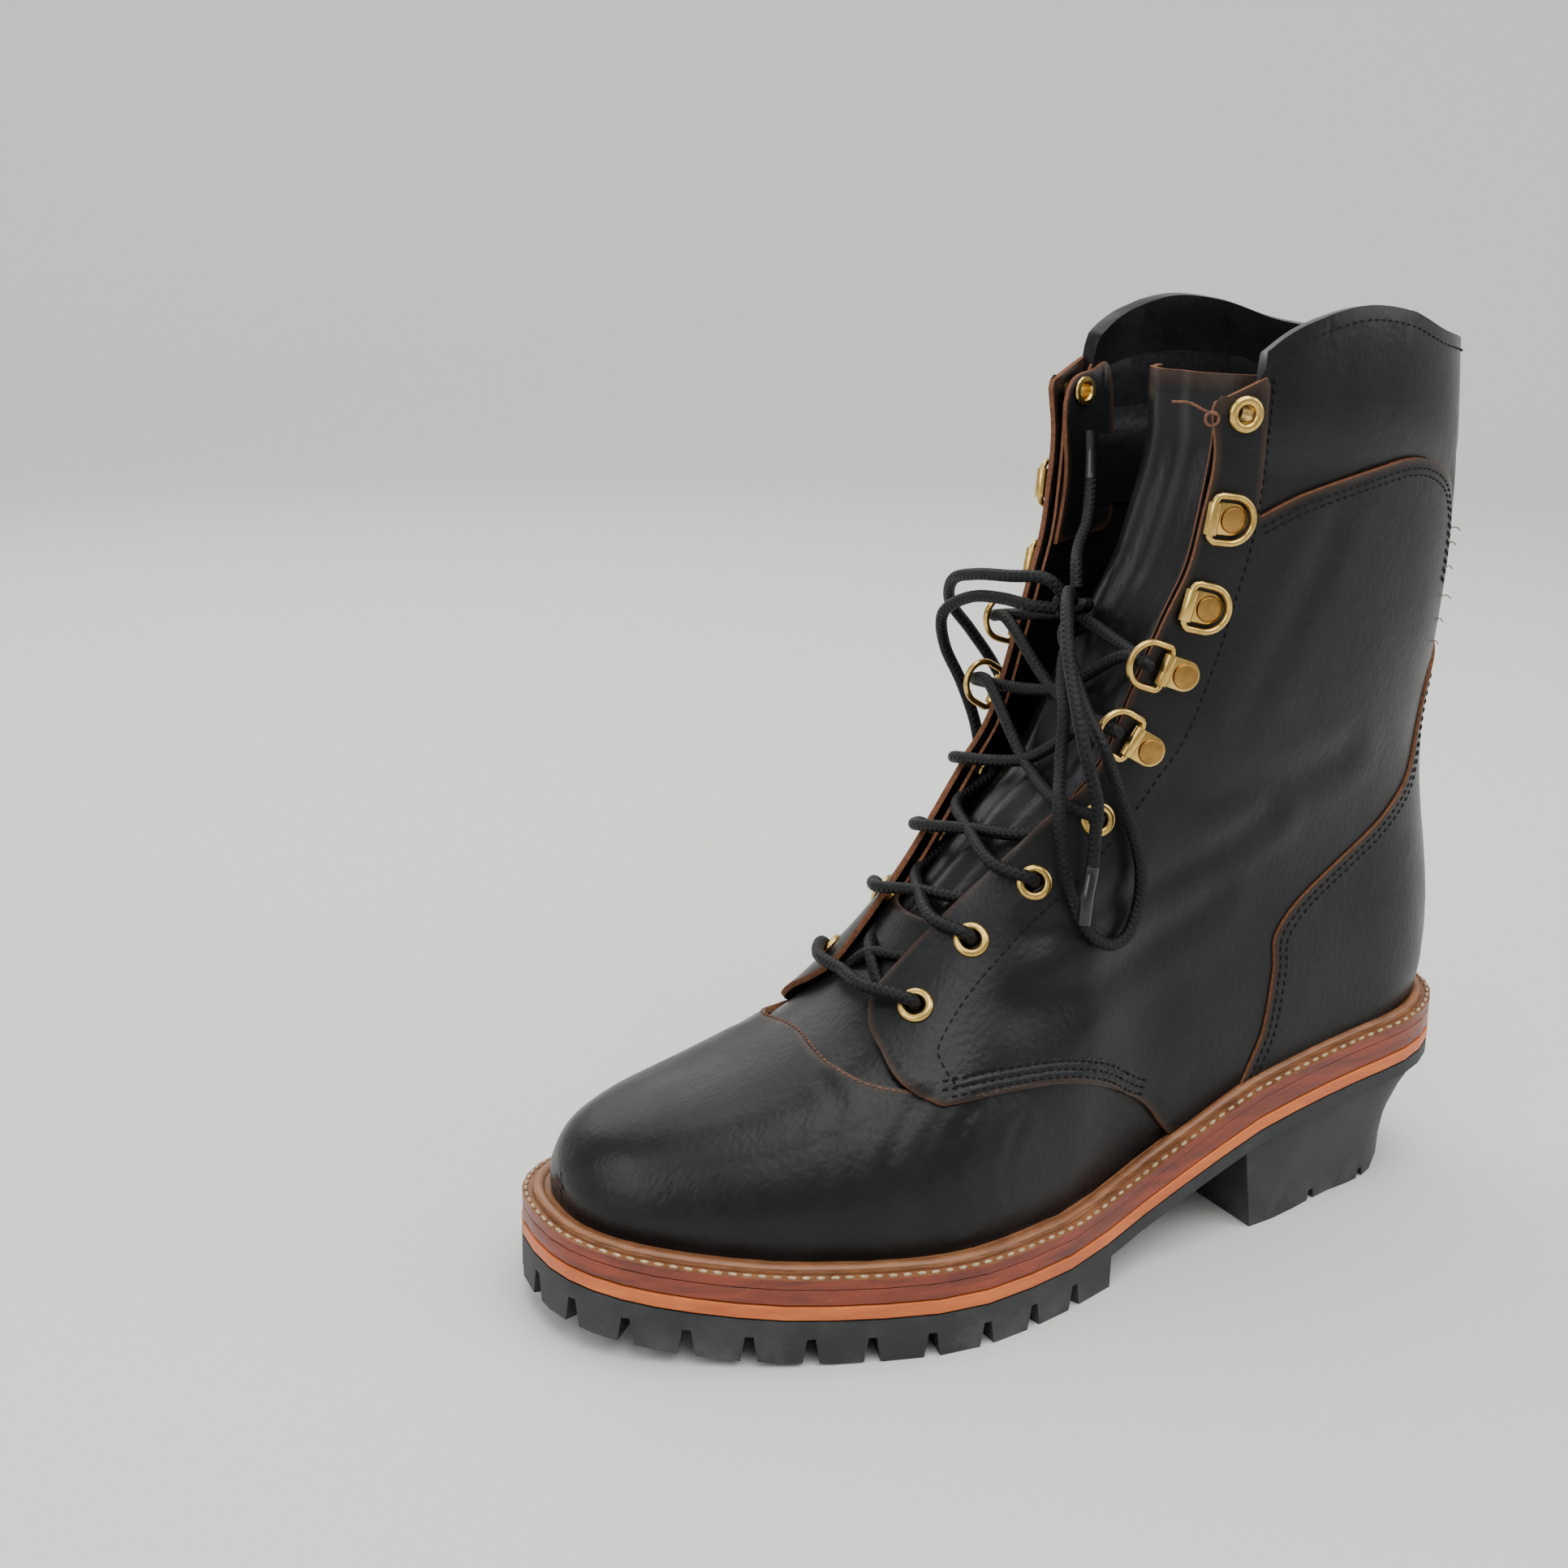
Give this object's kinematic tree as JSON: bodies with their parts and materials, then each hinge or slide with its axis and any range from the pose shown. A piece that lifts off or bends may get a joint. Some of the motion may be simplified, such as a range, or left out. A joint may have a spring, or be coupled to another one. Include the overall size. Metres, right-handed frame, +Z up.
{
  "type": "logger boot",
  "caption": "Left lace-up logger boot: black leather upper and tall shaft on a stitched welt, layered midsole, lugged sole and high undercut heel.",
  "frame": {"origin": "on the floor, in the middle of the heel's flat, on the sole's long axis", "axes": "+X towards the toe, +Y to the outer (lateral) side, +Z up"},
  "size_m": [0.318, 0.1204, 0.2871],
  "materials": {
    "rubber_black": "matt, dusty on the lugs",
    "midsole_orange": "satin",
    "midsole_red": "satin, stained edge",
    "welt_brown": "satin, stitched in cream thread",
    "insole_tan": "matt",
    "leather_black": "oiled, with brown raw edges",
    "brass_aged": "polished, a little aged",
    "lace_black": "waxed round braid"
  },
  "bodies": {
    "boot": {"outsole": "rubber_black", "heel_block": "rubber_black", "midsole_lower": "midsole_orange", "midsole_upper": "midsole_red", "welt": "welt_brown", "insole": "insole_tan", "upper": "leather_black", "quarter_lateral": "leather_black", "quarter_medial": "leather_black", "heel_counter": "leather_black", "tongue": "leather_black", "eyelet_lateral_1": "brass_aged", "eyelet_lateral_2": "brass_aged", "eyelet_lateral_3": "brass_aged", "eyelet_lateral_4": "brass_aged", "eyelet_lateral_5": "brass_aged", "eyelet_medial_1": "brass_aged", "eyelet_medial_2": "brass_aged", "eyelet_medial_3": "brass_aged", "eyelet_medial_4": "brass_aged", "eyelet_medial_5": "brass_aged", "clip_lateral_1": "brass_aged", "clip_lateral_2": "brass_aged", "clip_lateral_3": "brass_aged", "clip_lateral_4": "brass_aged", "clip_medial_1": "brass_aged", "clip_medial_2": "brass_aged", "clip_medial_3": "brass_aged", "clip_medial_4": "brass_aged", "ring_lateral_1": "brass_aged", "ring_lateral_2": "brass_aged", "ring_medial_1": "brass_aged", "ring_medial_2": "brass_aged", "lace_bar": "lace_black", "lace_cross_1": "lace_black", "lace_cross_2": "lace_black", "lace_cross_3": "lace_black", "lace_cross_4": "lace_black", "lace_knot": "lace_black", "lace_loop_lateral": "lace_black", "lace_loop_medial": "lace_black", "lace_end_lateral": "lace_black", "lace_end_medial": "lace_black"},
    "swinging_ring_lateral_3": {"ring_lateral_3": "brass_aged"},
    "swinging_ring_lateral_4": {"ring_lateral_4": "brass_aged"},
    "swinging_ring_medial_3": {"ring_medial_3": "brass_aged"},
    "swinging_ring_medial_4": {"ring_medial_4": "brass_aged"}
  },
  "joints": [
    {"name": "ring_lateral_3_hinge", "type": "hinge", "parent": "boot", "child": "swinging_ring_lateral_3", "pos_m": [0.08318, 0.03941, 0.205], "axis": [0.2164, -0.0781, -0.9732], "range_deg": [0, 150]},
    {"name": "ring_lateral_4_hinge", "type": "hinge", "parent": "boot", "child": "swinging_ring_lateral_4", "pos_m": [0.07865, 0.04152, 0.22965], "axis": [0.1024, -0.0635, -0.9927], "range_deg": [0, 150]},
    {"name": "ring_medial_3_hinge", "type": "hinge", "parent": "boot", "child": "swinging_ring_medial_3", "pos_m": [0.08318, -0.03941, 0.205], "axis": [-0.2164, -0.0781, 0.9732], "range_deg": [0, 150]},
    {"name": "ring_medial_4_hinge", "type": "hinge", "parent": "boot", "child": "swinging_ring_medial_4", "pos_m": [0.07865, -0.04152, 0.22965], "axis": [-0.1024, -0.0635, 0.9927], "range_deg": [0, 150]}
  ]
}
